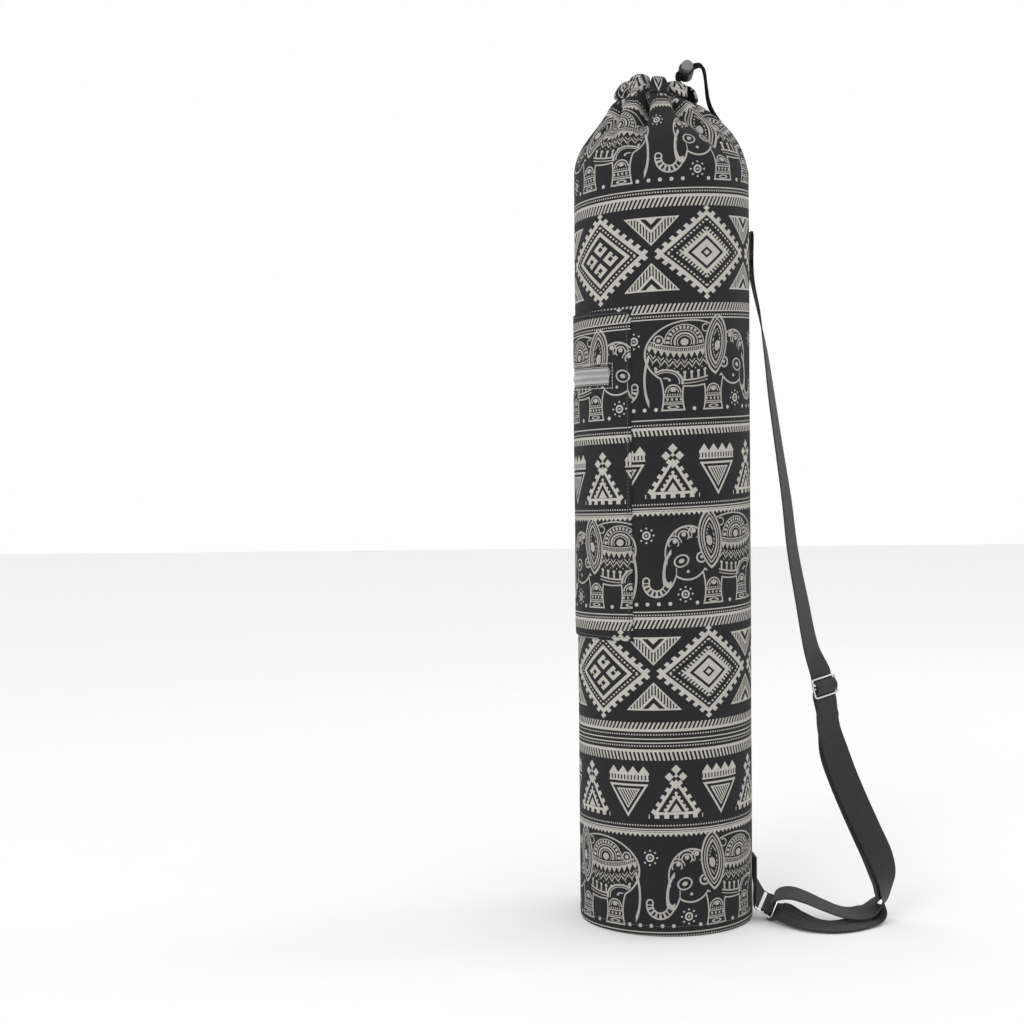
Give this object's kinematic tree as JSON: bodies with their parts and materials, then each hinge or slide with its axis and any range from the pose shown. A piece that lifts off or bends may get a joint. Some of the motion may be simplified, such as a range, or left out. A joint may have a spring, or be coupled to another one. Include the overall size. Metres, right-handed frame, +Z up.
{
  "type": "yoga mat bag",
  "caption": "Tall cylindrical drawstring bag for a rolled mat, in patterned canvas, with a zip pocket, cord lock and adjustable webbing shoulder strap.",
  "frame": {"origin": "centre of the base panel's underside, which stands on the floor", "axes": "+Z up along the bag, -Y towards the front, +X to the right of the front, the side that carries the strap"},
  "size_m": [0.2921, 0.16, 0.7844],
  "materials": {
    "printed_canvas": "matt woven cotton canvas, near black with a warm white print",
    "webbing": "matt ribbed webbing",
    "metal": "bright plated wire",
    "zip_tape": "light grey woven tape with a nylon coil",
    "cord": "matt braided cord",
    "lock_plastic": "satin moulded plastic",
    "button_plastic": "satin moulded plastic"
  },
  "bodies": {
    "root": {"sleeve": "printed_canvas", "casing": "printed_canvas", "base_panel": "printed_canvas", "pocket_panel": "printed_canvas", "zip": "zip_tape", "zip_pull": "metal", "strap": "webbing", "lower_tab": "webbing", "upper_slider": "metal", "lower_slider": "metal", "drawcord_loop": "cord", "cord_tail_1": "cord", "cord_tail_2": "cord", "tail_knot": "cord", "lock_barrel": "lock_plastic"},
    "button": {"lock_button": "button_plastic"}
  },
  "joints": [
    {"name": "cord_lock_press", "type": "slide", "parent": "root", "child": "button", "axis": [0, 0.9703, -0.2419], "range_m": [0, 0.004], "stiffness_N_per_m": 400, "springref_m": -0.004}
  ]
}
